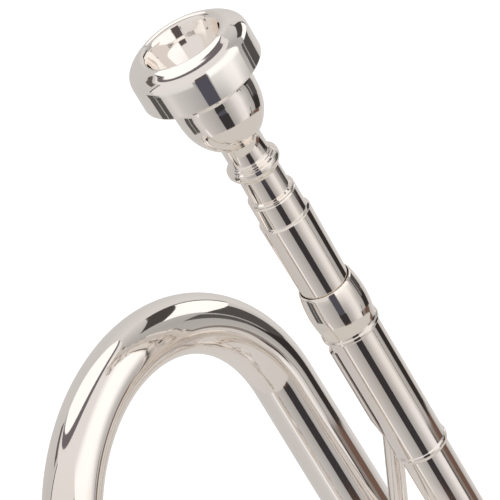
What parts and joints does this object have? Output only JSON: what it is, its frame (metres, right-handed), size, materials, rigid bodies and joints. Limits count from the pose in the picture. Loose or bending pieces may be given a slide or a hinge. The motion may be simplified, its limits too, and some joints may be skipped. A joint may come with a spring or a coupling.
{
  "type": "trumpet",
  "caption": "Piston-valve brass trumpet standing on its bell, with mouthpiece, leadpipe, bell bow, valves and tuning slides.",
  "frame": {"origin": "on the plane of the bell rim, under the middle of the whole instrument's footprint", "axes": "+Z from the bell rim up to the mouthpiece; +X towards the finger buttons; +Y towards the bell, away from the leadpipe"},
  "size_m": [0.1684, 0.142, 0.543],
  "materials": {
    "silver_plate": "polished silver plate",
    "piston_metal": "lapped nickel alloy",
    "pearl": "pearl inlay in a silver rim",
    "cork": "natural cork",
    "nylon": "white nylon"
  },
  "bodies": {
    "frame": {"mouthpiece_receiver": "silver_plate", "leadpipe": "silver_plate", "bell": "silver_plate", "bell_bow": "silver_plate", "bell_ferrule": "silver_plate", "tail_ferrule": "silver_plate", "bell_tail": "silver_plate", "link_tube_12_upper": "silver_plate", "link_tube_12_lower": "silver_plate", "link_tube_23_upper": "silver_plate", "link_tube_23_lower": "silver_plate", "leadpipe_sleeve": "silver_plate", "tuning_lower_sleeve": "silver_plate", "tuning_sleeve_brace": "silver_plate", "first_slide_sleeves": "silver_plate", "second_slide_sleeves": "silver_plate", "third_slide_sleeves": "silver_plate", "rear_brace": "silver_plate", "front_brace": "silver_plate", "bow_brace": "silver_plate", "pinky_hook": "silver_plate", "valve_casing_1": "silver_plate", "bottom_cap_1": "silver_plate", "top_cap_1": "silver_plate", "valve_guide_1": "nylon", "valve_spring_1": "piston_metal", "valve_casing_2": "silver_plate", "bottom_cap_2": "silver_plate", "top_cap_2": "silver_plate", "valve_guide_2": "nylon", "valve_spring_2": "piston_metal", "valve_casing_3": "silver_plate", "bottom_cap_3": "silver_plate", "top_cap_3": "silver_plate", "valve_guide_3": "nylon", "valve_spring_3": "piston_metal"},
    "mouthpiece": {"mouthpiece": "silver_plate"},
    "valve_1": {"piston_1": "piston_metal", "valve_stem_1": "silver_plate", "finger_button_1": "pearl"},
    "valve_2": {"piston_2": "piston_metal", "valve_stem_2": "silver_plate", "finger_button_2": "pearl"},
    "valve_3": {"piston_3": "piston_metal", "valve_stem_3": "silver_plate", "finger_button_3": "pearl"},
    "tuning_slide": {"tuning_crook": "silver_plate", "tuning_slide_brace": "silver_plate", "tuning_key_saddle": "silver_plate"},
    "tuning_key": {"tuning_key_lever": "silver_plate", "tuning_key_cork": "cork"},
    "first_slide": {"first_slide_crook": "silver_plate", "thumb_saddle": "silver_plate"},
    "second_slide": {"second_slide_crook": "silver_plate"},
    "third_slide": {"third_slide_crook": "silver_plate", "third_slide_ring": "silver_plate", "third_key_saddle": "silver_plate"},
    "third_key": {"third_key_lever": "silver_plate", "third_key_cork": "cork"}
  },
  "joints": [
    {"name": "mouthpiece_pull", "type": "slide", "parent": "frame", "child": "mouthpiece", "axis": [0, 0, 1], "range_m": [0, 0.03]},
    {"name": "valve_1_press", "type": "slide", "parent": "frame", "child": "valve_1", "axis": [-1, 0, 0], "range_m": [0, 0.0165], "stiffness_N_per_m": 160, "springref_m": -0.012, "deforming": ["valve_spring_1"]},
    {"name": "valve_2_press", "type": "slide", "parent": "frame", "child": "valve_2", "axis": [-1, 0, 0], "range_m": [0, 0.0165], "stiffness_N_per_m": 160, "springref_m": -0.012, "deforming": ["valve_spring_2"]},
    {"name": "valve_3_press", "type": "slide", "parent": "frame", "child": "valve_3", "axis": [-1, 0, 0], "range_m": [0, 0.0165], "stiffness_N_per_m": 160, "springref_m": -0.012, "deforming": ["valve_spring_3"]},
    {"name": "tuning_slide_pull", "type": "slide", "parent": "frame", "child": "tuning_slide", "axis": [0, 0, -1], "range_m": [0, 0.03]},
    {"name": "first_slide_pull", "type": "slide", "parent": "frame", "child": "first_slide", "axis": [0, 0, 1], "range_m": [0, 0.018]},
    {"name": "second_slide_pull", "type": "slide", "parent": "frame", "child": "second_slide", "axis": [0, -1, 0], "range_m": [0, 0.012]},
    {"name": "third_slide_pull", "type": "slide", "parent": "frame", "child": "third_slide", "axis": [0, 0, -1], "range_m": [0, 0.025]},
    {"name": "tuning_key_lift", "type": "hinge", "parent": "tuning_slide", "child": "tuning_key", "pos_m": [-0.04855, -0.0078, 0.164], "axis": [0.2586, 0.966, 0], "range_deg": [0, 11], "stiffness_Nm_per_rad": 0.06, "springref_deg": -20.05},
    {"name": "third_key_lift", "type": "hinge", "parent": "third_slide", "child": "third_key", "pos_m": [-0.06293, 0.0043, 0.171], "axis": [0, 1, 0], "range_deg": [0, 11], "stiffness_Nm_per_rad": 0.06, "springref_deg": -20.05}
  ]
}
